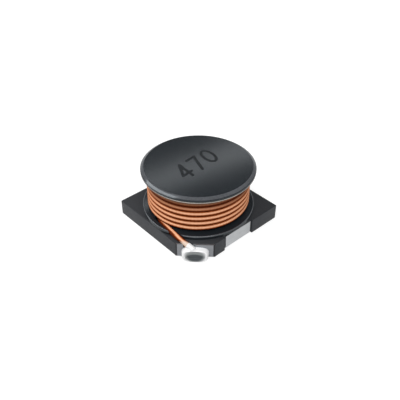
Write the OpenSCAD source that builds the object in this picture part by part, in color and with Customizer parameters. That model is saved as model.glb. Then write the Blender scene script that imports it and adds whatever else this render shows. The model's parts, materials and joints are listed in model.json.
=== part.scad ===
// Surface-mount drum-core power inductor.
// +X and +Y run along the sides of the square base, +Z points up.
// The origin is at the middle of the board face, under the post.
// The two terminal corners are at (+X, -Y) and (-X, +Y).

/* [Overall] */
// Height from the board to the top of the core
overall_h = 5.8; // [5.2:0.05:7]

/* [Base] */
// Side of the square base
base_w = 10; // [9.6:0.1:11.5]
// Height of the base's top face above the board
base_h = 1.5; // [1.35:0.05:1.9]
// Length cut off each side at a terminal corner
corner_cut = 2.18; // [1.9:0.02:2.5]
// Gap between the board and the plastic
standoff = 0.05; // [0.02:0.01:0.1]
// Thickness of the plastic between the core's round seat and a side pad
seat_wall = 0.3; // [0.2:0.05:1]
// Depth of that seat
seat_depth = 0.35; // [0.2:0.05:0.5]

/* [Core] */
// Distance of both flanges' edge behind the base's sides
flange_inset = 0; // [-0.3:0.05:0.15]
// Thickness of the upper flange
top_flange_h = 0.55; // [0.45:0.05:0.9]
// Thickness of the lower flange's rim, which stands on the base
rim_h = 0.35; // [0.3:0.05:0.6]
// Rounding of the upper flange's top edge
top_edge_r = 0.2; // [0.05:0.05:0.3]
// Rounding of its lower edge
under_edge_r = 0.1; // [0.04:0.02:0.2]
// Chamfer of the lower flange's edges
rim_chamfer = 0.1; // [0.04:0.02:0.14]
// Gap round the spigot in its seat
seat_gap = 0.05; // [0.02:0.01:0.15]
// Thickness of the adhesive film under the spigot
film_h = 0.05; // [0.02:0.01:0.12]

/* [Winding] */
// Diameter of the wire over its enamel
wire_d = 0.48; // [0.4:0.01:0.5]
// Gap between neighbouring turns
wire_gap = 0.01; // [0.005:0.005:0.03]
// Number of layers, even so that both leads leave at the bottom
layers = 4; // [2:2:4]
// Gap between the winding and each flange
wind_gap = 0.05; // [0.02:0.01:0.1]
// Distance of the winding behind the flanges' edge
wind_inset = 0.45; // [0.4:0.05:0.8]

/* [Leads] */
// Depth of the lead's middle under the lower flange's top
lead_depth = 0.11; // [0.06:0.01:0.15]
// Angle from the terminal corner to the place where the lead turns down
lead_a = 18; // [14:0.5:24]
// Distance of that place outside the flange's edge
lead_out = 0.12; // [0.05:0.01:0.3]
// Height of the lead's end above the board
lead_end_h = 1.14; // [1.04:0.02:1.24]
// Distance that the lead's end stands out from the corner tab
lead_reach = 0.16; // [0.08:0.02:0.24]
// Sideways place of the lead's end on the corner tab
lead_shift = -0.22; // [-0.4:0.02:0]
// Length of the bend where a lead turns in under the winding
lead_bend = 0.8; // [0.5:0.1:1.1]
// Length of the bend where a lead turns down
edge_bend = 0.3; // [0.2:0.05:0.5]
// Gap between the wire and its slots in the core and the tab
slot_gap = 0.03; // [0.02:0.01:0.06]
// Gap under the lead in the base's groove
groove_gap = 0.1; // [0.05:0.01:0.15]
// Width of the base's groove outside the lead's middle
groove_out = 0.5; // [0.3:0.05:0.6]
// Width of the base's groove inside the lead's middle
groove_in = 0.3; // [0.27:0.01:0.4]

/* [Terminals] */
// Thickness of the terminal strip
strip_t = 0.15; // [0.1:0.01:0.18]
// Outer radius of the strip's bends
bend_r = 0.27; // [0.22:0.01:0.35]
// Width of the side pad
pad_w = 3; // [2.2:0.1:3.4]
// Height of the side pad's top edge above the board
pad_h = 1.43; // [1:0.01:1.45]
// Distance of the side pad's middle from the middle of the side
pad_shift = 0.2; // [-0.2:0.05:0.4]
// Depth of the side pad behind the base's wall
pad_recess = 0.1; // [0.04:0.02:0.14]
// Gap at each end of the side pad in its notch
pad_gap = 0.18; // [0.05:0.01:0.3]
// Height of the corner tab's top edge above the board
tab_h = 1.45; // [1.3:0.01:1.5]
// Length of the feet under the base
foot_l = 1.4; // [1:0.1:1.8]
// Width of the link between the two feet of a terminal
link_w = 0.7; // [0.4:0.1:1]

/* [Solder] */
// Width of a solder joint
solder_w = 2.5; // [1.8:0.1:2.8]
// Height of a solder joint's top
solder_h = 1.2; // [1.1:0.02:1.3]
// Distance that the joint stands out from the tab at its foot
solder_low = 0.6; // [0.4:0.05:0.8]
// Distance that the joint stands out from the tab at its top
solder_high = 0.36; // [0.3:0.02:0.5]
// Depth of the dish in its face, as a share of its thickness
solder_dish = 0.4; // [0:0.05:0.6]
// Thickness of the solder round the wire's end
solder_cover = 0.1; // [0.06:0.01:0.14]

/* [Hidden] */

PLASTIC = [0.20, 0.21, 0.22];
FERRITE = [0.27, 0.29, 0.31];
COPPER = [0.80, 0.47, 0.28];
TIN = [0.86, 0.88, 0.90];
SOLDER = [0.75, 0.78, 0.80];
EPOXY = [0.55, 0.45, 0.25];

ROUND = 96;           // roundness of the turned parts
OVER = 1;             // how far a cutter runs past what it cuts
SKIN = 0.005;         // gap between the wire and the solder round it
COIL_STEP = 15;       // degrees between sections of the inner layers
SHOW_STEP = 10;       // degrees between sections of the outer layer
LEAST_STEP = 2;       // degrees between the sections at the coil's two ends, at least
CLIMB = 30;           // degrees in which the wire moves out to the next layer
WIRE_SIDES = 8;       // sides of the wire's section
BEND_STEPS = 5;
EDGE_STEPS = 4;
DIP_STEPS = 6;
DIP_SHARE = 0.5;      // share of the end lead's level part in which it dips from the coil
RIM_STEP = 30;        // degrees between rings over the solder's rounded rim
RIM_SHARE = 0.16;     // width of that rim as a share of the joint
SOLDER_SIDES = 24;
SOLDER_SQUARE = 0.8;  // below 1 makes the joint's outline fuller than an ellipse

// Distance from the middle to a corner tab's outer face. The tab is as wide as the
// plastic behind it, and its sides are flush with the base's walls
tab_d = (base_w - corner_cut) / sqrt(2);
tab_w = 2 * (base_w / sqrt(2) - tab_d + strip_t);
pad_x = base_w / 2 - pad_recess;
pad_y = pad_shift - pad_w / 2;

// The core's faces, and the seat that its spigot stands in
flange_r = base_w / 2 - flange_inset;
rim_z = base_h + rim_h;
under_z = overall_h - top_flange_h;
seat_r = pad_x - strip_t - seat_wall;
seat_z = base_h - seat_depth;
spigot_r = seat_r - seat_gap;
spigot_z = seat_z + film_h;

// The winding's layers, from the outer one in to the post. The section is as large as the
// round wire's, flat towards its neighbours
pitch = wire_d + wire_gap;
wire_r = wire_d / 2;
section_r = wire_r * sqrt(2 * PI / (WIRE_SIDES * sin(360 / WIRE_SIDES)));
out_r = flange_r - wind_inset - wire_r;
in_r = layer_r(0);
post_r = in_r - wire_r - 2 * wire_gap;
low_z = rim_z + wind_gap + wire_r;
function layer_r(k) = out_r - (layers - 1 - k) * pitch;

// The lead runs level from under the outer layer, on a line that touches that layer's
// circle, to a place outside the flange, and drops straight from there to its end
lead_z = rim_z - lead_depth;
edge_p = polar(flange_r + lead_out, -45 - lead_a);
slot_a = -45 - lead_a - acos(out_r / norm(edge_p));
slot_p = polar(out_r, slot_a);
lead_v = edge_p - slot_p;
lead_l = norm(lead_v);
lead_end = tab_point(tab_d + lead_reach, lead_shift);
drop_v = lead_end - edge_p;
drop_l = norm(drop_v);
drop_tilt = atan((lead_z - lead_end_h) / drop_l);
slot_side = wire_r + slot_gap;

// Angles at which the wire joins the inner layer and leaves the outer one. It crosses
// under the layers between one wire lower than they are
start_a = slot_a - acos(in_r / out_r);
end_a = 90 - slot_a;
start_p = polar(in_r, start_a);
in_v = start_p - slot_p;
in_l = norm(in_v);
in_z = low_z - pitch;

// Turning angle of one layer: the most that fits and still ends at the rear slot. An even
// number of turns keeps the lowest turns of the middle layers away from the start lead
room_a = 360 * (under_z - wind_gap - wire_r - low_z) / pitch;
whole = 2 * floor((layers * room_a + (layers - 1) * CLIMB - start_a + end_a) / 720);
total_a = start_a - end_a + 360 * whole;
layer_a = (total_a - (layers - 1) * CLIMB) / layers;
shown_a = total_a - layer_a - CLIMB;

function polar(r, a) = [r * cos(a), r * sin(a)];
function tab_point(out, side) = [out + side, side - out] / sqrt(2);
function ease(t) = let (c = min(1, max(0, t))) c * c * (3 - 2 * c);
function mix(a, b, t) = a + (b - a) * t;

// Height of the wire's middle, and its distance from the axis, after turning by u
function span(u) = floor(u / (layer_a + CLIMB));
function inside(u) = min(1, (u - span(u) * (layer_a + CLIMB)) / layer_a);
function coil_z(u) =
    low_z + pitch * layer_a / 360 * (span(u) % 2 == 0 ? inside(u) : 1 - inside(u));
function coil_r(u) =
    layer_r(span(u)) + pitch * ease((u - span(u) * (layer_a + CLIMB) - layer_a) / CLIMB);
function coil_point(u) = let (p = polar(coil_r(u), start_a - u)) [p.x, p.y, coil_z(u)];

// Turning angles at which the coil gets a section, on one grid round the axis
function coil_stops() =
    let (first = COIL_STEP - (COIL_STEP * ceil(start_a / COIL_STEP) - start_a),
         fine = SHOW_STEP * ceil((shown_a - start_a) / SHOW_STEP) + start_a)
    concat([0],
           [for (u = [first : COIL_STEP : fine - COIL_STEP / 2]) if (u > LEAST_STEP) u],
           [for (u = [fine : SHOW_STEP : total_a - LEAST_STEP]) u],
           [total_a]);

// Points of the start lead, at a distance along its level part, its drop and its way in
function level_point(d) = let (p = slot_p + lead_v * d / lead_l) [p.x, p.y, lead_z];
function drop_point(d) =
    let (p = edge_p + drop_v * d / drop_l) [p.x, p.y, lead_z - d * tan(drop_tilt)];
function in_point(d) = let (p = slot_p + in_v * d / in_l) [p.x, p.y, in_z];
function bend(a, b, c, t) = mix(mix(a, b, t), mix(b, c, t), t);
function edge_point(t) =
    bend(drop_point(edge_bend), level_point(lead_l), level_point(lead_l - edge_bend), t);
function slot_point(t) =
    bend(level_point(lead_bend), level_point(0), in_point(lead_bend), t);
function rise_point(t) =
    let (p = in_point(mix(lead_bend, in_l, t))) [p.x, p.y, mix(in_z, low_z, ease(2 * t - 1))];

// Points of the end lead, which is the start lead's mirror image once it has dipped
function dip_point(t) =
    let (p = level_point(DIP_SHARE * (lead_l - edge_bend) * t)) [p.x, p.y, mix(low_z, p.z, ease(t))];
function swapped(p) = [p.y, p.x, p.z];

edge_turn = [for (i = [0 : EDGE_STEPS]) edge_point(i / EDGE_STEPS)];
start_lead = concat([drop_point(drop_l)], edge_turn,
                    [for (i = [0 : BEND_STEPS]) slot_point(i / BEND_STEPS)],
                    [for (i = [DIP_STEPS / 2 : DIP_STEPS - 1]) rise_point(i / DIP_STEPS)]);
end_lead = concat([for (i = [1 : DIP_STEPS]) swapped(dip_point(i / DIP_STEPS))],
                  [for (i = [EDGE_STEPS : -1 : 0]) swapped(edge_turn[i])],
                  [swapped(drop_point(drop_l))]);
wire_path = concat(start_lead, [for (u = coil_stops()) coil_point(u)], end_lead);

// Section of the wire at point i of the path p, square to the path
function unit(v) = v / norm(v);
function heading(p, i) = unit(p[min(i + 1, len(p) - 1)] - p[max(i - 1, 0)]);
function section(p, i) =
    let (t = heading(p, i),
         side = unit(cross([0, 0, 1], t)),
         rise = cross(t, side))
    [for (k = [0 : WIRE_SIDES - 1])
        let (a = (k + 0.5) * 360 / WIRE_SIDES)
        p[i] + section_r * (side * cos(a) + rise * sin(a))];

module tube(p) {
    n = WIRE_SIDES;
    points = [for (i = [0 : len(p) - 1]) each section(p, i)];
    walls = [for (i = [0 : len(p) - 2], k = [0 : n - 1], half = [0, 1])
        let (a = i * n + k, b = i * n + (k + 1) % n)
        half == 0 ? [a, a + n, b] : [b, a + n, b + n]];
    first = [for (k = [0 : n - 1]) k];
    last = [for (k = [0 : n - 1]) len(points) - 1 - k];
    polyhedron(points, concat(walls, [first], [last]));
}

// The terminals are turned half round to the rear, and the lead is mirrored to it
module to_rear() rotate([0, 0, 180]) children();
module to_rear_lead() mirror([1, -1, 0]) children();
module both_corners() {
    children();
    to_rear() children();
}
module both_leads() {
    children();
    to_rear_lead() children();
}

// Level-floored space between two points of the plan, open at its top
module slot_between(p, q, floor_z, out, in) {
    translate([p.x, p.y, floor_z])
        rotate([0, 0, atan2(q.y - p.y, q.x - p.x)])
        translate([0, -out, 0])
        cube([norm([q.x - p.x, q.y - p.y]), out + in, base_h]);
}

// Space for the level part of the lead, running on past where it turns down
module level_slot(back, floor_z, out, in) {
    slot_between(level_point(-back), level_point(lead_l + slot_side), floor_z, out, in);
}

// Space for the lead's drop, open at its top
module drop_slot(out, in) {
    translate([edge_p.x, edge_p.y, lead_z])
        rotate([0, drop_tilt, atan2(drop_v.y, drop_v.x)])
        translate([-edge_bend, -out, -slot_side])
        cube([drop_l + edge_bend + OVER, out + in, base_h]);
}

// Space for the start lead on its way in under the outer layers, and for its bend
module inner_slot() {
    floor_z = in_z - slot_side;
    side = wire_r + slot_gap / 3;
    slot_between(slot_p, start_p, floor_z, side, side);
    slot_between(slot_point(0), slot_point(1), floor_z, slot_side, slot_side);
}

// Plan of what lies beyond a line across the front corner
module beyond(out) {
    rotate(-45) translate([out, -base_w / 2]) square(base_w);
}

module base_plan() {
    difference() {
        square(base_w, center = true);
        both_corners() beyond(tab_d - strip_t);
    }
}

// Plan of a terminal's feet and of the link between them
module foot_plan() {
    link_x = pad_x - foot_l;
    link_d = tab_d - foot_l;
    translate([link_x, pad_y]) square([foot_l, pad_w]);
    intersection() {
        square(base_w, center = true);
        beyond(link_d);
        rotate(-45) translate([0, -tab_w / 2]) square([tab_d, tab_w]);
    }
    polygon([[link_x, pad_y + strip_t], [link_x + link_w, pad_y + strip_t],
             tab_point(link_d + link_w, tab_w / 2 - strip_t),
             tab_point(link_d, tab_w / 2 - link_w)]);
}

// Section of a strip bent up out of its foot, with its outer face at x = 0
module bend_section(high) {
    inside_r = bend_r - strip_t;
    translate([-strip_t, bend_r]) square([strip_t, high - bend_r]);
    intersection() {
        difference() {
            translate([-bend_r, bend_r]) circle(bend_r, $fn = ROUND);
            translate([-bend_r, bend_r]) circle(inside_r, $fn = ROUND);
        }
        translate([-bend_r, 0]) square(bend_r);
    }
}

// A strip of that section, standing at a distance from the middle
module bent_strip(out, high, wide) {
    translate([out, 0, 0]) rotate([90, 0, 0])
        linear_extrude(wide, center = true) bend_section(high);
}

// What the bends leave free under and outside them
module outside_bend(out, wide) {
    translate([out - bend_r, -wide / 2, -OVER]) cube([base_w, wide, bend_r + OVER]);
}

module terminal_strip() {
    translate([0, pad_y + pad_w / 2, 0]) bent_strip(pad_x, pad_h, pad_w);
    intersection() {
        rotate([0, 0, -45]) bent_strip(tab_d, tab_h, tab_w);
        translate([0, 0, base_h / 2]) cube([base_w, base_w, base_h], center = true);
    }
    difference() {
        linear_extrude(strip_t) foot_plan();
        translate([0, pad_y + pad_w / 2, 0]) outside_bend(pad_x, pad_w);
        rotate([0, 0, -45]) outside_bend(tab_d, 2 * tab_w);
    }
}

// Room for a terminal in the plastic
module terminal_seat() {
    long = pad_w + 2 * pad_gap;
    translate([pad_x - strip_t, pad_y - pad_gap, -OVER])
        cube([base_w, long, base_h + 2 * OVER]);
    translate([0, 0, -OVER]) linear_extrude(strip_t + OVER) foot_plan();
    terminal_strip();
}

module base() {
    color(PLASTIC) difference() {
        translate([0, 0, standoff]) linear_extrude(base_h - standoff) base_plan();
        translate([0, 0, seat_z]) cylinder(h = base_h, r = seat_r, $fn = ROUND);
        both_leads() {
            level_slot(0, lead_z - wire_r - groove_gap, groove_out, groove_in);
            drop_slot(groove_out, groove_in);
        }
        both_corners() terminal_seat();
    }
}

module terminal_front() {
    color(TIN) difference() {
        terminal_strip();
        drop_slot(slot_side, slot_side);
    }
}

module terminal_rear() {
    color(TIN) difference() {
        to_rear() terminal_strip();
        to_rear_lead() drop_slot(slot_side, slot_side);
    }
}

module core_adhesive() {
    color(EPOXY) translate([0, 0, seat_z])
        cylinder(h = film_h, r = spigot_r - seat_gap, $fn = ROUND);
}

// Half section of the upper flange, with its edges rounded
module top_half() {
    r = flange_r;
    low_r = under_edge_r;
    high_r = top_edge_r;
    translate([0, low_r]) square([r, top_flange_h - low_r - high_r]);
    square([r - low_r, low_r]);
    translate([0, top_flange_h - high_r]) square([r - high_r, high_r]);
    translate([r - low_r, low_r]) circle(low_r, $fn = ROUND);
    translate([r - high_r, top_flange_h - high_r]) circle(high_r, $fn = ROUND);
}

// Half section of the lower flange's rim, with its edges chamfered
module rim_half() {
    r = flange_r;
    c = rim_chamfer;
    polygon([[0, 0], [r - c, 0], [r, c], [r, rim_h - c], [r - c, rim_h], [0, rim_h]]);
}

module drum_core() {
    color(FERRITE) difference() {
        rotate_extrude($fn = ROUND) {
            translate([0, spigot_z]) square([spigot_r, rim_z - spigot_z]);
            translate([0, base_h]) rim_half();
            translate([0, base_h]) square([post_r, overall_h - base_h - top_flange_h / 2]);
            translate([0, under_z]) top_half();
        }
        both_leads() {
            level_slot(slot_side, lead_z - slot_side, slot_side, slot_side);
            slot_between(edge_p, lead_end, lead_z - slot_side, slot_side, slot_side);
        }
        inner_slot();
    }
}

module winding() {
    color(COPPER) tube(wire_path);
}

// Rings of the solder joint, from its edge on the tab to the floor of its dish
function full(c) = sign(c) * pow(abs(c), SOLDER_SQUARE);
function solder_ring(a) =
    let (size = 1 - RIM_SHARE * (1 - cos(a)),
         thick = a <= 90 ? sin(a) : 1 - solder_dish * (1 - sin(a)),
         mid_z = (solder_h + standoff) / 2,
         half_h = (solder_h - standoff) / 2)
    [for (k = [0 : SOLDER_SIDES - 1])
        let (b = k * 360 / SOLDER_SIDES,
             rise = size * full(sin(b)),
             out = thick * mix(solder_low, solder_high, (rise + 1) / 2),
             p = tab_point(tab_d + out, solder_w / 2 * size * full(cos(b))))
        [p.x, p.y, mid_z + half_h * rise]];

module solder_bead() {
    n = SOLDER_SIDES;
    rings = [for (a = [0 : RIM_STEP : 180]) solder_ring(a)];
    points = [for (r = rings) each r];
    walls = [for (i = [0 : len(rings) - 2], k = [0 : n - 1], half = [0, 1])
        let (a = i * n + k, b = i * n + (k + 1) % n)
        half == 0 ? [a, a + n, b] : [b, a + n, b + n]];
    back = [for (k = [0 : n - 1]) k];
    dish = [for (k = [0 : n - 1]) len(points) - 1 - k];
    polyhedron(points, concat(walls, [back], [dish]));
}

module lead_hole() {
    translate([edge_p.x, edge_p.y, lead_z])
        rotate([0, 90 + drop_tilt, atan2(drop_v.y, drop_v.x)])
        cylinder(h = norm([drop_l, lead_z - lead_end_h]) + SKIN, r = section_r + SKIN,
                 $fn = ROUND / 3);
}

// Solder that has run up round the wire's end
module solder_collar() {
    intersection() {
        translate([lead_end.x, lead_end.y, lead_end_h])
            sphere(r = section_r + solder_cover, $fn = ROUND / 3);
        rotate([0, 0, -45]) translate([tab_d, -base_w / 2, 0]) cube(base_w);
    }
}

module solder_joint() {
    color(SOLDER) difference() {
        union() {
            solder_bead();
            solder_collar();
        }
        lead_hole();
    }
}

module solder_front() solder_joint();
module solder_rear() to_rear_lead() solder_joint();

base();
terminal_front();
terminal_rear();
core_adhesive();
drum_core();
winding();
solder_front();
solder_rear();
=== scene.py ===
# Looks of a surface-mount power inductor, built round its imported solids.
# Settings are in millimetres and degrees, and so is each mesh until settle() brings it to metres.
import json
import math

import bmesh
import bpy
from mathutils import Matrix, Quaternion, Vector

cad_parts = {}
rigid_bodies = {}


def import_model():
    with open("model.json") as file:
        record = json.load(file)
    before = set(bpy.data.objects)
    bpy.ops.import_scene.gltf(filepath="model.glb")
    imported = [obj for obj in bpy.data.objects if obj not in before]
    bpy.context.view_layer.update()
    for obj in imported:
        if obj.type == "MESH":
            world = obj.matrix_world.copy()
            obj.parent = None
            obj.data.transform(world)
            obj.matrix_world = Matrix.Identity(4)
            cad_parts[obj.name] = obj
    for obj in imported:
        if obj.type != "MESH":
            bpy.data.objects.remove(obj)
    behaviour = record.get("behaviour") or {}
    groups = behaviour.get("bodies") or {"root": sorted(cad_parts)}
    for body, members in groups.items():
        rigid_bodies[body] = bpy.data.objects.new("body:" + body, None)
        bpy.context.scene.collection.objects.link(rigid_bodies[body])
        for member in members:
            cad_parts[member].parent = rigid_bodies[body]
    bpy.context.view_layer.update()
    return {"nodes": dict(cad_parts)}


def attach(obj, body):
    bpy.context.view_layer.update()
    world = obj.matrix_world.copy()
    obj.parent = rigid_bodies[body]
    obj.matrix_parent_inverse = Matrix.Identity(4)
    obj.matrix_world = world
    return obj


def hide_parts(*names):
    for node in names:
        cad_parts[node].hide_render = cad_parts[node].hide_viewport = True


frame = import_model()
scene = bpy.context.scene
scene.view_settings.view_transform = "Standard"
millimetre = 0.001
print("solids loaded:", ", ".join(sorted(frame["nodes"])))


# Camera, lamps and floor

view = {
    "azimuth": 47.745,
    "elevation": 37.38,
    "distance": 46.053,
    "aim": (0, 0, 2.5),
    "lens": 46.17,
    "shift": (0.0041, -0.0146),
}
# azimuth and elevation seen from the part, degrees across, high and turned, share of full light
lamps = {
    "keyLamp": (-56, 51, 46, 16, 46, 0.36),
    "frontLamp": (48, 55, 40, 22, 0, 0.62),
    "bandLamp": (228, 35.1, 32, 2.6, 20, 0.0155),
}
studio = {
    "lampDistance": 400,
    "skyLight": 0.32,
    "zenith": 0.1,  # how bright the sky is overhead in reflections
    "skyFade": (0.05, 0.4),
    "floorSize": 4000,
    "floorTone": 0.5,
    "floorLift": 0.66,
    "floorGlow": 0.3,
}


def direction(azimuth, elevation):
    a, e = math.radians(azimuth), math.radians(elevation)
    return Vector((math.sin(a) * math.cos(e), -math.cos(a) * math.cos(e), math.sin(e)))


def aimed(item, place, target, turn=0):
    item.location = place * millimetre
    item.rotation_mode = "QUATERNION"
    item.rotation_quaternion = ((target - place).to_track_quat("-Z", "Y")
                                @ Quaternion((0, 0, 1), math.radians(turn)))
    scene.collection.objects.link(item)


def makeCamera():
    data = bpy.data.cameras.new("camera")
    data.lens = view["lens"]
    data.sensor_width = 36
    data.shift_x, data.shift_y = view["shift"]
    data.clip_start = 0.001
    data.clip_end = 10
    aim = Vector(view["aim"])
    back = direction(view["azimuth"], view["elevation"])
    camera = bpy.data.objects.new("camera", data)
    aimed(camera, aim + back * view["distance"], aim)
    scene.camera = camera


def makeLamps():
    distance = studio["lampDistance"]
    for name, (azimuth, elevation, across, high, turn, share) in lamps.items():
        data = bpy.data.lights.new(name, "AREA")
        data.shape = "RECTANGLE"
        data.size = 2 * distance * math.tan(math.radians(across / 2)) * millimetre
        data.size_y = 2 * distance * math.tan(math.radians(high / 2)) * millimetre
        data.energy = share * (math.pi * distance * millimetre) ** 2
        lamp = bpy.data.objects.new(name, data)
        aimed(lamp, direction(azimuth, elevation) * distance, Vector((0, 0, 2.5)), turn)


makeCamera()
makeLamps()
print("camera and lamps placed")


# Shader maths


class Value:
    # a shader socket that takes part in Python expressions
    def __init__(self, finish, socket):
        self.finish, self.socket = finish, socket

    def __add__(self, other):
        return self.finish.math("ADD", self, other)

    def __sub__(self, other):
        return self.finish.math("SUBTRACT", self, other)

    def __rsub__(self, other):
        return self.finish.math("SUBTRACT", other, self)

    def __mul__(self, other):
        return self.finish.math("MULTIPLY", self, other)

    def __truediv__(self, other):
        return self.finish.math("DIVIDE", self, other)

    def __pow__(self, other):
        return self.finish.math("POWER", self, other)

    def __abs__(self):
        return self.finish.math("ABSOLUTE", self)

    __radd__ = __add__
    __rmul__ = __mul__


class Finish:
    # one material's nodes, with its place on the part in millimetres
    def __init__(self, name, tree=None):
        if tree is None:
            self.material = bpy.data.materials.new(name)
            self.material.use_nodes = True
            tree = self.material.node_tree
        self.tree = tree
        self.tree.nodes.clear()

    def node(self, kind, settings=None, sockets=None, out=0):
        made = self.tree.nodes.new("ShaderNode" + kind)
        for name, value in (settings or {}).items():
            setattr(made, name, value)
        for name, value in (sockets or {}).items():
            if isinstance(value, Value):
                self.tree.links.new(value.socket, made.inputs[name])
            else:
                made.inputs[name].default_value = value
        return Value(self, made.outputs[out]) if out is not None else made

    def math(self, operation, *values):
        return self.node("Math", {"operation": operation}, dict(enumerate(values)))

    def place(self):
        # keeps the point for noise(), and gives its x, y and z in millimetres
        self.point = self.node("TexCoord", out="Object")
        apart = {"Vector": self.point}
        return [self.node("SeparateXYZ", None, apart, out=i) * 1000 for i in range(3)]

    def shownRays(self):
        rays = self.node("LightPath", out=None)
        kinds = ("Camera", "Glossy", "Transmission")
        return [Value(self, rays.outputs[f"Is {kind} Ray"]) for kind in kinds]

    def noise(self, size, detail=2, roughness=0.5, stretch=None):
        # cloudy pattern from 0 to 1, with patches of about that size
        where = self.point
        if stretch:
            where = self.node("Mapping", None, {"Vector": where, "Scale": stretch})
        sockets = {"Vector": where, "Scale": 1000 / size, "Detail": detail, "Roughness": roughness}
        return self.node("TexNoise", None, sockets)

    def step(self, value, low, high):
        # 0 below low, 1 above high, smooth between them
        sockets = {"Value": value, "From Min": low, "From Max": high}
        return self.node("MapRange", {"interpolation_type": "SMOOTHSTEP"}, sockets)

    def mix(self, share, first, second):
        # index 0 is the factor, and 6 and 7 are the two colours
        tone = lambda t: t if isinstance(t, Value) else (*t, 1)
        sockets = {0: share, 6: tone(first), 7: tone(second)}
        return self.node("Mix", {"data_type": "RGBA"}, sockets, out=2)

    def bump(self, height, depth, strength=1.0):
        return self.node("Bump", None, {"Height": height, "Distance": depth * millimetre,
                                        "Strength": strength})

    def surface(self, **sockets):
        named = {name.replace("_", " "): value for name, value in sockets.items()}
        shader = self.node("BsdfPrincipled", None, named)
        self.node("OutputMaterial", None, {"Surface": shader}, out=None)
        return self.material


def makeFloor():
    size = studio["floorSize"] * millimetre
    bm = bmesh.new()
    bmesh.ops.create_grid(bm, x_segments=1, y_segments=1, size=size / 2)
    mesh = bpy.data.meshes.new("floor")
    bm.to_mesh(mesh)
    bm.free()
    floor = bpy.data.objects.new("floor", mesh)
    scene.collection.objects.link(floor)
    paper = Finish("paleFloor")
    camera, glossy, clear = paper.shownRays()
    tone = (studio["floorTone"],) * 3
    matte = paper.node("BsdfDiffuse", None, {"Color": (*tone, 1)})
    lift = camera * studio["floorLift"] + (glossy + clear) * studio["floorGlow"]
    glow = paper.node("Emission", None, {"Color": (1, 1, 1, 1), "Strength": lift})
    both = paper.node("AddShader", None, {0: matte, 1: glow})
    paper.node("OutputMaterial", None, {"Surface": both}, out=None)
    mesh.materials.append(paper.material)


def makeSky():
    # white at the horizon and greyer above, to the camera and in reflections, and dimmer as light
    world = bpy.data.worlds.new("studio")
    world.use_nodes = True
    scene.world = world
    sky = Finish("studio", world.node_tree)
    shown = sky.step(sum(sky.shownRays(), 0), 0, 1)
    apart = {"Vector": sky.node("TexCoord", out="Generated")}
    height = sky.node("SeparateXYZ", None, apart, out="Z")
    picture = 1 - sky.step(height, *studio["skyFade"]) * (1 - studio["zenith"])
    strength = shown * (picture - studio["skyLight"]) + studio["skyLight"]
    light = sky.node("Background", None, {"Color": (1, 1, 1, 1), "Strength": strength})
    sky.node("OutputWorld", None, {"Surface": light}, out=None)


makeFloor()
makeSky()
print("floor and sky made")


# Shared steps of modelling


def newPiece(name, bm, *modifiers):
    mesh = bpy.data.meshes.new(name)
    bm.to_mesh(mesh)
    bm.free()
    piece = bpy.data.objects.new(name, mesh)
    scene.collection.objects.link(piece)
    for kind, settings in modifiers:
        modifier = piece.modifiers.new(kind.lower(), kind)
        for key, value in settings.items():
            setattr(modifier, key, value)
    return piece


def settle(piece, material, nodes, sharp=40):
    # modifiers applied, millimetres to metres, and tied to the solids that it stands for
    depsgraph = bpy.context.evaluated_depsgraph_get()
    mesh = bpy.data.meshes.new_from_object(piece.evaluated_get(depsgraph))
    mesh.transform(Matrix.Scale(millimetre, 4))
    name = piece.name
    bpy.data.objects.remove(piece)
    if mesh.has_custom_normals:  # a merged solid's old ones no longer fit
        mesh.attributes.remove(mesh.attributes["custom_normal"])
    mesh.polygons.foreach_set("use_smooth", [True] * len(mesh.polygons))
    mesh.set_sharp_from_angle(angle=math.radians(sharp))
    mesh.materials.clear()
    mesh.materials.append(material)
    mesh.name = name
    settled = bpy.data.objects.new(name, mesh)
    scene.collection.objects.link(settled)
    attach(settled, "root")
    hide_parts(*nodes)
    print(f"{name}: {len(mesh.polygons)} faces")
    return settled


def mergedSolid(node):
    # a solid's own triangles in millimetres, joined up and with flat faces whole
    bm = bmesh.new()
    bm.from_mesh(frame["nodes"][node].data)
    for layer in list(bm.loops.layers.float_vector.values()):
        bm.loops.layers.float_vector.remove(layer)
    bmesh.ops.scale(bm, vec=(1000, 1000, 1000), verts=bm.verts)
    bmesh.ops.remove_doubles(bm, verts=bm.verts, dist=0.0005)
    bmesh.ops.dissolve_limit(bm, angle_limit=math.radians(0.5), verts=bm.verts, edges=bm.edges)
    return bm


# the rear lead and joint are the front ones with x and y swapped
swapSides = Matrix(((0, 1, 0, 0), (1, 0, 0, 0), (0, 0, 1, 0), (0, 0, 0, 1)))


def softenEdges(bm, width, least):
    # rounds the long sharp edges, and leaves arcs of short ones alone
    sharp = [e for e in bm.edges if len(e.link_faces) == 2 and e.calc_length() > least
             and e.calc_face_angle() > math.radians(40)]
    bmesh.ops.bevel(bm, geom=sharp, offset=width, segments=2, profile=0.5, affect="EDGES",
                    material=-1, clamp_overlap=False)
    return bm


# Ferrite core, with its number

core = {
    "flange": 10,
    "top": 5.8,
    "under": 5.25,
    "rimTop": 1.85,
    "rimBottom": 1.5,
    "spigotBottom": 1.2,
    "post": 5.16,
    "spigot": 8.8,
    "topEdge": (0.30, 0.19),  # the upper flange's bevel, inwards and down
    "topBulge": 0.007,
    "edges": {"under": 0.2, "rimTop": 0.1, "rimBottom": 0.1},  # roundings
    "steps": 144,
    "digitHeight": 2.1,
    "digitWidth": 1.26,
    "digitPitch": 1.55,
    "stroke": 0.27,
    "numberAt": (-0.08, 0.12),
    "numberRise": 0.11,  # how much the line of digits climbs, and how much each leans
    "numberLean": 0.06,
    "tone": (0.015, 0.0185, 0.0225),
    # tone of the painted highlight along the flange edges
    "edgeHighlightTone": (0.11, 0.115, 0.125),
    # tone of the painted reflection on the upper flange's lower edge
    "underEdgeReflectionTone": (0.80, 0.74, 0.66),
    "markTone": (0.012, 0.013, 0.014),
}


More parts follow.
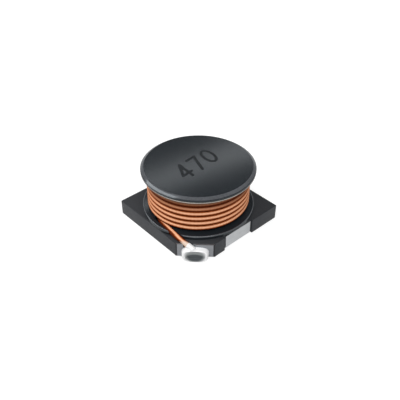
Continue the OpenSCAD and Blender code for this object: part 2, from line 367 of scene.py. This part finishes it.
def ferriteFinish():
    ferrite = Finish("ferrite")
    x, y, z = ferrite.place()
    radius = (x ** 2 + y ** 2) ** 0.5
    # the number reads along +Y, with the digits' tops towards -X
    across = y - core["numberAt"][0]
    up = 0 - x - core["numberAt"][1] - across * core["numberRise"]
    across = across - up * core["numberLean"]
    half = core["digitHeight"] / 2
    stroke = core["stroke"]

    def zero(centre):
        # distance from an ellipse that runs along the middle of the stroke
        a = core["digitWidth"] / 2 - stroke / 2
        b = half - stroke / 2
        u, v = (across - centre) / a, up / b
        ring = (u ** 2 + v ** 2) ** 0.5
        return abs(ring - 1) * ring / ((u / a) ** 2 + (v / b) ** 2) ** 0.5

    def bar(fromX, fromY, toX, toY):
        # distance from a straight stroke
        dx, dy = toX - fromX, toY - fromY
        px, py = across - fromX, up - fromY
        share = (px * dx + py * dy) / (dx * dx + dy * dy)
        share = ferrite.math("MINIMUM", ferrite.math("MAXIMUM", share, 0), 1)
        return ((px - share * dx) ** 2 + (py - share * dy) ** 2) ** 0.5

    # the plain number 470, a digit on each side of the middle one
    right = core["digitPitch"]
    left, high, foot = -right, half - stroke / 2, stroke / 2 - half
    four = (bar(left + 0.2, foot, left + 0.2, high), bar(left + 0.2, high, left - 0.5, foot + 0.5),
            bar(left - 0.5, foot + 0.5, left + 0.5, foot + 0.5))
    seven = (bar(-0.46, high, 0.46, high), bar(0.46, high, -0.14, foot))
    digits = zero(right)
    for part in four + seven:
        digits = ferrite.math("MINIMUM", digits, part)
    ragged = (ferrite.noise(0.12, 3) - 0.5) * 0.08
    mark = 1 - ferrite.step(digits + ragged, stroke / 2 - 0.07, stroke / 2 + 0.05)
    mark = mark * ferrite.step(z, core["top"] - 0.05, core["top"] - 0.02)

    cloud = ferrite.noise(2.2, 3)
    speck = ferrite.noise(0.16, 4, 0.65)
    grain = ferrite.noise(0.05, 2, 0.6)
    patchy = ferrite.step(speck + cloud * 0.5, 0.45, 0.95)
    # painted highlight on the upper flange's bevel and on the lower flange's rounded edge
    rim, under, rimTop = core["flange"] / 2, core["under"], core["rimTop"]
    bevelIn, bevelFoot = rim - core["topEdge"][0], core["top"] - core["topEdge"][1]
    bevel = (ferrite.step(radius, bevelIn - 0.02, bevelIn + 0.02)
             * ferrite.step(z, bevelFoot + 0.01, bevelFoot + 0.05))
    rimEdgeHighlight = (ferrite.step(z, rimTop - 0.1, rimTop - 0.04)
           * (1 - ferrite.step(z, under + 0.15, under + 0.21))
           * ferrite.step(radius, rim - 0.12, rim - 0.06)
           * ferrite.step(radius, rim - 0.14, rim - 0.06))
    paintedEdgeHighlight = ferrite.math("MAXIMUM", bevel, rimEdgeHighlight) * (0.6 + 0.4 * patchy)
    # a painted reflection, a pale cream band, on the upper flange's lower edge
    underEdgeReflection = (ferrite.step(z, under - 0.05, under)
               * (1 - ferrite.step(z, under + 0.17, under + 0.21))
               * ferrite.step(radius, rim - 0.16, rim - 0.12) * (0.55 + 0.45 * patchy))
    tone = ferrite.mix(cloud * 0.5 + speck * 0.5, [t * 0.75 for t in core["tone"]],
                       [t * 1.3 for t in core["tone"]])
    tone = ferrite.mix(paintedEdgeHighlight, tone, core["edgeHighlightTone"])
    tone = ferrite.mix(underEdgeReflection, tone, core["underEdgeReflectionTone"])
    tone = ferrite.mix(mark * 0.7, tone, core["markTone"])
    rough = 0.10 + cloud * 0.02 + speck * 0.03 + mark * 0.4
    relief = grain * 0.25 + speck * 0.75
    return ferrite.surface(Base_Color=tone, Roughness=rough, IOR=1.5,
                           Specular_Tint=(0.86, 0.95, 1, 1), Normal=ferrite.bump(relief, 0.0008))


def makeCore():
    rim, post, spigot = core["flange"] / 2, core["post"] / 2, core["spigot"] / 2
    top, rimTop, rimBottom = core["top"], core["rimTop"], core["rimBottom"]
    wide, high = core["topEdge"]
    bulge = core["topBulge"]
    profile = [(0, core["spigotBottom"]), (spigot, core["spigotBottom"]), (spigot, rimBottom),
               (rim, rimBottom), (rim, rimTop), (post, rimTop), (post, core["under"]),
               (rim, core["under"]), (rim, top - high),
               (rim - wide / 2 + bulge, top - high / 2 + bulge), (rim - wide, top)]
    # a last ring keeps the flat of the top from shading as a dome
    profile += [(rim - wide - 0.02, top), (0, top)]
    bm = bmesh.new()
    corners = [bm.verts.new((r, 0, h)) for r, h in profile]
    line = [bm.edges.new(pair) for pair in zip(corners, corners[1:])]
    bmesh.ops.spin(bm, geom=line, cent=(0, 0, 0), axis=(0, 0, 1), angle=math.tau,
                   steps=core["steps"], use_merge=True)
    bmesh.ops.remove_doubles(bm, verts=bm.verts, dist=0.001)
    bmesh.ops.recalc_face_normals(bm, faces=bm.faces)
    for face, width in core["edges"].items():
        ring = [e for e in bm.edges
                if all(abs(v.co.xy.length - rim) < 0.01 for v in e.verts)
                and all(abs(v.co.z - core[face]) < 0.001 for v in e.verts)]
        bmesh.ops.bevel(bm, geom=ring, offset=width, segments=6, profile=0.5,
                        affect="EDGES", material=-1)
    piece = newPiece("drumCore", bm)
    for cutter in leadCutters():
        cut = piece.modifiers.new("slot", "BOOLEAN")
        cut.operation = "DIFFERENCE"
        cut.solver = "EXACT"
        cut.object = cutter
    settle(piece, ferriteFinish(), ["drum_core"], sharp=35)
    for cutter in bpy.data.collections["cutters"].objects[:]:
        bpy.data.objects.remove(cutter)


# Winding: one wire from the front corner, up and down in four layers, to the rear corner

wire = {
    "diameter": 0.48,
    "gap": 0.01,
    "layers": 4,
    "endGap": 0.05,
    "inset": 0.45,
    "leadDepth": 0.11,  # axis of the level part, below the lower flange's top
    "leadAngle": 18,  # degrees from the corner to where it crosses the flange's edge
    "leadOut": 0.12,
    "leadEnd": 1.14,  # height of the tip, its reach past the tab and its shift to the side
    "reach": 0.16,
    "shift": -0.22,
    "bend": 0.8,  # lengths that the bends take, inside and over the edge
    "edgeBend": 0.3,
    "dipShare": 0.5,
    "slotGap": 0.03,
    "climb": 30,  # degrees in which the wire climbs onto the next layer
    "innerStep": 12,  # degrees between points of hidden layers and of the outer one
    "outerStep": 4,
    # painted light on the wire: a highlight tone, a half-shade tone, and shade between the turns
    "copper": (1.0, 0.67, 0.49),
    "shadedCopper": (0.50, 0.15, 0.04),
    "gapShade": (0.10, 0.02, 0.005),
    "tin": (0.86, 0.85, 0.84),
    "coatTint": (0.96, 0.79, 0.67),
    "brightTilt": 25,  # degrees from straight outwards to the side where a turn's painted highlight is brightest
    "body": (0.165, 0.22),  # how far out on that side the painted shade between turns gives way
    "highlightBand": (0.21, 0.238),  # and how far out the painted highlight begins
    "flangeShadow": (1.35, 0.75),  # where painted shadow falls, below the upper flange
}
tab = {"distance": (10 - 2.18) / math.sqrt(2)}
wireRadius = wire["diameter"] / 2
pitch = wire["diameter"] + wire["gap"]
outerRadius = core["flange"] / 2 - wire["inset"] - wireRadius
innerRadius = outerRadius - (wire["layers"] - 1) * pitch
lowest = core["rimTop"] + wire["endGap"] + wireRadius
room = core["under"] - wire["endGap"] - wireRadius - lowest
leadHeight = core["rimTop"] - wire["leadDepth"]
crossHeight = lowest - pitch
slotSide = wireRadius + wire["slotGap"]


def onTab(out, side, height):
    return Vector(((out + side) / math.sqrt(2), (side - out) / math.sqrt(2), height))


def polar(radius, angle, height):
    return Vector((radius * math.cos(math.radians(angle)),
                   radius * math.sin(math.radians(angle)), height))


def ease(share):
    share = min(1, max(0, share))
    return share * share * (3 - 2 * share)


def bend(first, middle, last, share):
    return first.lerp(middle, share).lerp(middle.lerp(last, share), share)


def towards(start, end, distance):
    return start + (end - start).normalized() * distance


# The lead runs level from under the outer layer to the flange's edge,
# and drops from there to its tip
leadTurn = -45 - wire["leadAngle"]
edgePoint = polar(core["flange"] / 2 + wire["leadOut"], leadTurn, leadHeight)
edgeOut = edgePoint.xy.length * math.cos(math.radians(wire["leadAngle"]))
leadTip = onTab(tab["distance"] + wire["reach"], wire["shift"], wire["leadEnd"])
slotAngle = leadTurn - math.degrees(math.acos(outerRadius / edgePoint.xy.length))
slotPoint = polar(outerRadius, slotAngle, leadHeight)
levelLength = (edgePoint - slotPoint).length
# Inwards it crosses under the layers between, one wire lower than they are
startAngle = slotAngle - math.degrees(math.acos(innerRadius / outerRadius))
endAngle = 90 - slotAngle
crossPoint = polar(outerRadius, slotAngle, crossHeight)
startPoint = polar(innerRadius, startAngle, crossHeight)


def turning():
    # degrees that the whole coil turns, a full pair of turns at a time, and those of one layer
    jumps = (wire["layers"] - 1) * wire["climb"]
    most = wire["layers"] * 360 * room / pitch + jumps
    pairs = math.floor((most - startAngle + endAngle) / 720)
    total = startAngle - endAngle + 720 * pairs
    return total, (total - jumps) / wire["layers"]


def coilPoint(turned, layerTurn):
    layer = math.floor(turned / (layerTurn + wire["climb"]))
    within = turned - layer * (layerTurn + wire["climb"])
    share = min(1, within / layerTurn)
    radius = innerRadius + pitch * (layer + ease((within - layerTurn) / wire["climb"]))
    height = lowest + pitch * layerTurn / 360 * (share if layer % 2 == 0 else 1 - share)
    return polar(radius, startAngle - turned, height)


def wireRoute():
    turn = wire["edgeBend"]
    drop = towards(edgePoint, leadTip, turn)
    level = towards(edgePoint, slotPoint, turn)
    overEdge = [bend(drop, edgePoint, level, i / 6) for i in range(7)]
    first = towards(slotPoint, edgePoint, wire["bend"])
    last = towards(crossPoint, startPoint, wire["bend"])
    route = [leadTip] + overEdge
    route += [bend(first, slotPoint, last, i / 10) for i in range(11)]
    for i in range(5, 10):
        p = last.lerp(startPoint, i / 10)
        route.append(p + Vector((0, 0, pitch * ease(i / 5 - 1))))
    total, layerTurn = turning()
    fine = total - layerTurn - wire["climb"]
    turned = 0
    while turned < total:
        route.append(coilPoint(turned, layerTurn))
        turned += wire["innerStep"] if turned < fine else wire["outerStep"]
    route.append(coilPoint(total, layerTurn))
    # the rear lead is the front one's mirror image, once it has dipped from the coil
    dip = wire["dipShare"] * (levelLength - turn)
    rear = []
    for i in range(1, 11):
        p = towards(slotPoint, edgePoint, dip * i / 10)
        rear.append(p + Vector((0, 0, (lowest - leadHeight) * (1 - ease(i / 10)))))
    rear += overEdge[::-1] + [leadTip]
    return route + [Vector((p.y, p.x, p.z)) for p in rear]


def slotBox(start, end, floor, side):
    # matrix that makes a unit cube into an open-topped slot from start to end
    along = end - start
    height = core["rimTop"]
    place = (start + end) / 2
    return (Matrix.Translation((place.x, place.y, floor + height / 2))
            @ Matrix.Rotation(math.atan2(along.y, along.x), 4, "Z")
            @ Matrix.Diagonal((along.xy.length, 2 * side, height, 1)))


def leadCutters():
    # boxes that clear both leads' level parts and mouths, the way in and the bend before it
    leadFloor, crossFloor = leadHeight - slotSide, crossHeight - slotSide
    past = levelLength + slotSide
    level = slotBox(towards(slotPoint, edgePoint, -slotSide), towards(slotPoint, edgePoint, past),
                    leadFloor, slotSide)
    mouth = slotBox(edgePoint, leadTip, leadFloor, slotSide)
    wayIn = slotBox(crossPoint, startPoint, crossFloor, wireRadius + wire["slotGap"] / 3)
    corner = slotBox(towards(slotPoint, edgePoint, wire["bend"]),
                     towards(crossPoint, startPoint, wire["bend"]), crossFloor, slotSide)
    group = bpy.data.collections.new("cutters")
    for place in (level, mouth, swapSides @ level, swapSides @ mouth, wayIn, corner):
        bm = bmesh.new()
        bmesh.ops.create_cube(bm, size=1, matrix=place)
        bmesh.ops.recalc_face_normals(bm, faces=bm.faces)
        cutter = newPiece("slotCutter", bm)
        scene.collection.objects.unlink(cutter)
        group.objects.link(cutter)
    return group.objects[:]


def copperFinish():
    copper = Finish("enamelledCopper")
    x, y, z = copper.place()
    radius = (x ** 2 + y ** 2) ** 0.5
    cloud = copper.noise(1.4, 3)
    fine = copper.noise(0.12, 3, 0.6)
    out = abs((x - y) / math.sqrt(2))
    lead = 1 - copper.step(z, core["rimTop"] + 0.1, core["rimTop"] + 0.17)
    # a lead's axis is level, and then falls at one slope after a bend
    fall = (leadHeight - leadTip.z) / (tab["distance"] + wire["reach"] - edgeOut)
    bent = wire["edgeBend"] * 0.85
    share = copper.math("MINIMUM", copper.math("MAXIMUM", (out - edgeOut) / (2 * bent) + 0.5, 0), 1)
    past = copper.math("MAXIMUM", out - edgeOut - bent, 0)
    axis = leadHeight - (share ** 2 * bent + past) * fall
    # on the coil, how far the point is above the middle of its own turn
    angle = copper.math("ARCTAN2", y, x) * math.degrees(1)
    turns = (z - lowest) / pitch - (angle - endAngle) / 360
    above = (copper.math("FRACT", turns + 0.5) - 0.5) * pitch
    # painted highlight along the wire's outer and upper side, and painted shade between the turns
    tilt = math.radians(wire["brightTilt"])
    side = (radius - outerRadius) * math.cos(tilt) + above * math.sin(tilt)
    side = side * (1 - lead) + (z - axis) / ((share * fall) ** 2 + 1) ** 0.5 * lead
    body = copper.step(side, *wire["body"])
    highlightBand = copper.step(side, *wire["highlightBand"]) * copper.step(cloud * 0.6 + fine * 0.4, 0.15, 0.45)
    # painted shadow of the upper flange on the turns below it
    low, high = wire["flangeShadow"]
    body = body * (1 - copper.step(z, core["under"] - low, core["under"] - high) * 0.65)
    tone = copper.mix(body, wire["gapShade"], wire["shadedCopper"])
    tone = copper.mix(highlightBand * body, tone, wire["copper"])
    tinned = copper.step(out + fine * 0.15, tab["distance"] - 0.2, tab["distance"] + 0.05) * lead
    tone = copper.mix(tinned, tone, wire["tin"])
    rough = 0.27 + fine * 0.12
    # the enamel is a thin tinted coat, which looks deeper where it is seen aslant
    return copper.surface(Base_Color=tone, Roughness=rough, IOR=1.15, Coat_Weight=1.0,
                          Coat_Roughness=0.2, Coat_IOR=1.05, Coat_Tint=(*wire["coatTint"], 1),
                          Normal=copper.bump(fine, 0.001))


def makeWinding():
    curve = bpy.data.curves.new("wirePath", "CURVE")
    curve.dimensions = "3D"
    curve.bevel_depth = wireRadius
    curve.bevel_resolution = 6
    curve.use_fill_caps = True
    route = wireRoute()
    spline = curve.splines.new("POLY")
    spline.points.add(len(route) - 1)
    for point, place in zip(spline.points, route):
        point.co = (*place, 1)
    piece = bpy.data.objects.new("copperWinding", curve)
    scene.collection.objects.link(piece)
    settle(piece, copperFinish(), ["winding"], sharp=60)


# Moulded base

base = {
    "height": 1.5,
    "edge": 0.04,
    "longEdge": 0.5,
    "tone": (0.028, 0.031, 0.036),
    "paleTone": (0.058, 0.062, 0.070),
    "shadedTopTone": (0.010, 0.011, 0.013),
}


def plasticFinish():
    plastic = Finish("mouldedPlastic")
    x, y, z = plastic.place()
    cloud = plastic.noise(2.6, 3)
    fine = plastic.noise(0.09, 3, 0.6)
    rub = plastic.noise(0.5, 4, 0.7)
    tone = plastic.mix(cloud * 0.7 + fine * 0.3, base["tone"], base["paleTone"])
    # painted shade: the base's top face is darker than its walls
    upper = plastic.step(z, base["height"] - 0.03, base["height"] - 0.01)
    tone = plastic.mix(upper * 0.4, tone, base["shadedTopTone"])
    rough = 0.46 + rub * 0.16
    return plastic.surface(Base_Color=tone, Roughness=rough, IOR=1.45,
                           Normal=plastic.bump(fine * 0.7 + rub * 0.3, 0.006))


def makeBase():
    bm = softenEdges(mergedSolid("base"), base["edge"], base["longEdge"])
    piece = newPiece("mouldedBase", bm)
    settle(piece, plasticFinish(), ["base"], sharp=25)


# Terminals and solder

strip = {
    "edge": 0.02,
    "longEdge": 0.5,
    "tone": (0.78, 0.79, 0.80),
    "dullTone": (0.50, 0.52, 0.54),
    "tabShadeTone": (0.33, 0.34, 0.36),
    "tabEndShadeTone": (0.05, 0.05, 0.055),
}
solder = {
    "width": 2.31,
    "low": 0.05,
    "high": 1.2,
    "outLow": 0.68,  # how far the bead stands out at its foot and at its top
    "outHigh": 0.42,
    "dish": 0.4,
    "rim": 0.16,
    "square": 0.7,  # 1 is an ellipse, less is squarer
    "sides": 48,
    "profileSteps": 12,
    "root": 0.1,  # how far the bead's foot reaches into the tab
    "sleeve": {"wide": 0.27, "narrow": 0.245, "length": 0.55},
    "voxel": 0.02,
    "smoothing": 16,
    "dull": 0.55,  # height of the middle of the dish's rougher ring of painted shade
    # where the painted shade in the dish is darkest
    "shadePool": {"height": 0.4, "across": 0.72, "up": 0.26},
    # the near-white tone is a painted reflection, and the two darker tones are painted shade in the
    # dish
    "tone": (0.98, 0.985, 0.99),
    "dishShadeTone": (0.30, 0.32, 0.32),
    "darkTone": (0.07, 0.08, 0.085),
}
solderMiddle = (solder["high"] + solder["low"]) / 2
solderRise = (solder["high"] - solder["low"]) / 2


def tinFinish():
    tin = Finish("tinPlate")
    x, y, z = tin.place()
    cloud = tin.noise(0.7, 3)
    drawn = tin.noise(0.12, 3, 0.6, stretch=(0.1, 0.1, 1))
    tone = tin.mix(cloud * 0.5 + drawn * 0.5, strip["dullTone"], strip["tone"])
    # the corner tab is darkened with painted shade, and its ends are darker still with painted
    # shade
    tabShade = tin.step(abs(x - y) / math.sqrt(2), tab["distance"] - 0.3, tab["distance"] - 0.1)
    edge = tin.math("MAXIMUM", abs(x), abs(y))
    cut = tin.step(edge, core["flange"] / 2 - 0.03, core["flange"] / 2 - 0.01) * tabShade
    tone = tin.mix(tabShade, tone, strip["tabShadeTone"])
    tone = tin.mix(cut, tone, strip["tabEndShadeTone"])
    rough = 0.28 + drawn * 0.12 + tabShade * 0.2
    return tin.surface(Base_Color=tone, Metallic=1.0, Roughness=rough,
                       Normal=tin.bump(drawn, 0.001))


def solderFinish():
    solid = Finish("solder")
    x, y, z = solid.place()
    side = (x + y) / math.sqrt(2)
    cloud = solid.noise(0.5, 3)
    fine = solid.noise(0.08, 3)
    # the dish is rougher and has painted shade, darkest low in its middle
    ring = ((side / (solder["width"] / 2)) ** 2 + ((z - solder["dull"]) / solderRise) ** 2) ** 0.5
    dullShadedDish = 1 - solid.step(ring + cloud * 0.1, 0.6, 0.9)
    place = solder["shadePool"]
    shadePool = ((side / place["across"]) ** 2 + ((z - place["height"]) / place["up"]) ** 2) ** 0.5
    poolShade = 1 - solid.step(shadePool + cloud * 0.1, 0.8, 1.35)
    tone = solid.mix(dullShadedDish, solder["tone"], solder["dishShadeTone"])
    tone = solid.mix(poolShade, tone, solder["darkTone"])
    rough = 0.34 + fine * 0.06 + dullShadedDish * 0.15
    return solid.surface(Base_Color=tone, Metallic=0.1, Roughness=rough)


def beadRings(bm):
    # a ring on the tab that grows out of its root, over the rounded rim and down into the dish
    made = bmesh.ops.create_circle(bm, segments=solder["sides"], radius=1)
    ring = list({e for v in made["verts"] for e in v.link_edges})
    rings = [ring]
    for i in range(solder["profileSteps"] + 1):
        made = bmesh.ops.extrude_edge_only(bm, edges=ring)["geom"]
        ring = [e for e in made if isinstance(e, bmesh.types.BMEdge)]
        rings.append(ring)
    return rings


def placeBead(bm):
    full = lambda c: math.copysign(abs(c) ** solder["square"], c)
    rings = beadRings(bm)
    for i, ring in enumerate(rings):
        angle = math.pi * max(0, i - 1) / solder["profileSteps"]
        size = 1 - solder["rim"] * (1 - math.cos(angle))
        thick = math.sin(angle)
        if angle > math.pi / 2:
            thick = 1 - solder["dish"] * (1 - thick)
        for v in {v for e in ring for v in e.verts}:
            around = math.atan2(v.co.y, v.co.x)
            up = size * full(math.sin(around))
            across = solder["width"] / 2 * size * full(math.cos(around))
            deep = solder["outLow"] + (solder["outHigh"] - solder["outLow"]) * (up + 1) / 2
            out = thick * deep if i else -solder["root"]
            v.co = onTab(tab["distance"] + out, across, solderMiddle + solderRise * up)
    for ring in (rings[0], rings[-1]):
        bmesh.ops.edgeloop_fill(bm, edges=ring)


def makeSolder(name, node, mirrored):
    bm = bmesh.new()
    placeBead(bm)
    # the wire's end lies in a sleeve of solder that runs up it
    sleeve = solder["sleeve"]
    up = (edgePoint - leadTip).normalized()
    turn = up.to_track_quat("Z", "Y").to_matrix().to_4x4()
    middle = leadTip + up * sleeve["length"] / 2
    bmesh.ops.create_cone(bm, cap_ends=True, segments=32, radius1=sleeve["wide"],
                          radius2=sleeve["narrow"], depth=sleeve["length"],
                          matrix=Matrix.Translation(middle) @ turn)
    bmesh.ops.create_uvsphere(bm, u_segments=32, v_segments=16, radius=sleeve["wide"],
                              matrix=Matrix.Translation(leadTip))
    if mirrored:
        bmesh.ops.transform(bm, matrix=swapSides, verts=bm.verts)
    bmesh.ops.recalc_face_normals(bm, faces=bm.faces)
    piece = newPiece(name, bm,
                     ("REMESH", {"mode": "VOXEL", "voxel_size": solder["voxel"]}),
                     ("SMOOTH", {"factor": 0.5, "iterations": solder["smoothing"]}))
    settle(piece, solderMaterial, [node], sharp=80)


def makeTerminal(name, node):
    piece = newPiece(name, softenEdges(mergedSolid(node), strip["edge"], strip["longEdge"]))
    settle(piece, tinMaterial, [node], sharp=25)


# Adhesive film under the core, on its own solid

adhesive = {"tone": (0.36, 0.26, 0.12), "darkTone": (0.22, 0.15, 0.06)}


def epoxyFinish():
    epoxy = Finish("epoxy")
    epoxy.place()
    cloud = epoxy.noise(0.8, 3)
    tone = epoxy.mix(cloud, adhesive["darkTone"], adhesive["tone"])
    return epoxy.surface(Base_Color=tone, Roughness=0.2 + cloud * 0.1)


makeCore()
makeWinding()
makeBase()
tinMaterial = tinFinish()
makeTerminal("frontTerminal", "terminal_front")
makeTerminal("rearTerminal", "terminal_rear")
solderMaterial = solderFinish()
makeSolder("frontSolder", "solder_front", False)
makeSolder("rearSolder", "solder_rear", True)
film = frame["nodes"]["core_adhesive"].data
film.materials.clear()
film.materials.append(epoxyFinish())
print("adhesive film finished")
